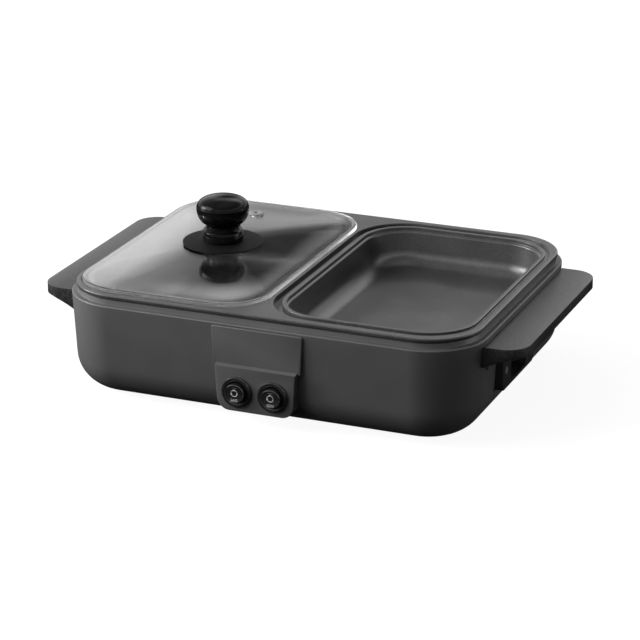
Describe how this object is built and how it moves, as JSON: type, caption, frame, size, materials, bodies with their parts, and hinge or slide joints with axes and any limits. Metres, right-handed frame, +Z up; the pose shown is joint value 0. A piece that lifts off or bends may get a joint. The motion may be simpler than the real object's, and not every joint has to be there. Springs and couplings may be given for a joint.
{
  "type": "hot pot grill combo",
  "caption": "Low countertop electric cooker with a hot pot well under a glass lid beside an open grill well, two round rocker switches on the front and a shelf handle at each end.",
  "frame": {"origin": "middle of the overall length and depth, on the table under the feet", "axes": "+X to the user's right, +Y away from the control panel, +Z up"},
  "size_m": [0.38, 0.266, 0.1281],
  "materials": {
    "housing_plastic": "fine satin moulding",
    "handle_plastic": "fine satin moulding",
    "pan_coating": "die-cast with a dark non-stick coating, satin",
    "black_plastic": "black moulding",
    "knob_plastic": "high gloss black",
    "switch_plastic": "semi-gloss black",
    "rubber": "matt",
    "steel": "plated or mill finish sheet and screws",
    "heater_steel": "heat-tinted tube",
    "brass": "bright pins",
    "ceramic": "unglazed ceramic, stood in for by matt plastic",
    "silicone": "dark silicone",
    "wire_red": "wire sleeve",
    "wire_blue": "wire sleeve",
    "wire_green": "wire sleeve",
    "glass": "clear tempered glass"
  },
  "bodies": {
    "base": {"housing": "housing_plastic", "control_panel": "housing_plastic", "base_cover": "black_plastic", "inlet_socket": "black_plastic", "foot_front_left": "rubber", "base_screw_front_left": "steel", "shield_screw_front_left": "steel", "foot_front_right": "rubber", "base_screw_front_right": "steel", "shield_screw_front_right": "steel", "foot_back_left": "rubber", "base_screw_back_left": "steel", "shield_screw_back_left": "steel", "foot_back_right": "rubber", "base_screw_back_right": "steel", "shield_screw_back_right": "steel", "left_switch_body": "switch_plastic", "left_handle": "handle_plastic", "left_handle_screw_front": "steel", "left_handle_screw_back": "steel", "right_switch_body": "switch_plastic", "right_handle": "handle_plastic", "right_handle_screw_front": "steel", "right_handle_screw_back": "steel", "double_pan": "pan_coating", "tie_bolt_front": "steel", "tie_bolt_back": "steel", "heat_shield": "steel", "hotpot_heater": "heater_steel", "hotpot_heater_clamp": "steel", "hotpot_clamp_screw_left": "steel", "hotpot_clamp_screw_right": "steel", "hotpot_thermostat": "steel", "hotpot_thermal_fuse": "ceramic", "hotpot_heater_lead": "silicone", "grill_heater": "heater_steel", "grill_heater_clamp": "steel", "grill_clamp_screw_left": "steel", "grill_clamp_screw_right": "steel", "grill_thermostat": "steel", "grill_thermal_fuse": "ceramic", "grill_heater_lead": "silicone", "inlet_line_pin": "brass", "inlet_neutral_pin": "brass", "inlet_earth_pin": "brass", "inlet_screw_front": "steel", "inlet_screw_back": "steel", "terminal_block": "ceramic", "line_lead": "wire_red", "switch_supply_lead": "wire_red", "neutral_lead": "wire_blue", "earth_lead": "wire_green"},
    "lid": {"lid_glass": "glass", "vent_grommet": "silicone", "knob_base_disc": "knob_plastic", "lid_knob": "knob_plastic", "knob_washer": "silicone", "knob_screw": "steel"},
    "left_rocker": {"left_rocker": "switch_plastic"},
    "right_rocker": {"right_rocker": "switch_plastic"}
  },
  "joints": [
    {"name": "lid_lift", "type": "slide", "parent": "base", "child": "lid", "axis": [0, 0, 1], "range_m": [0, 0.1]},
    {"name": "left_rocker_tilt", "type": "hinge", "parent": "base", "child": "left_rocker", "pos_m": [-0.011, -0.1282, 0.0275], "axis": [1, 0, 0], "range_deg": [-10, 10]},
    {"name": "right_rocker_tilt", "type": "hinge", "parent": "base", "child": "right_rocker", "pos_m": [0.017, -0.1282, 0.0275], "axis": [1, 0, 0], "range_deg": [-10, 10]}
  ]
}
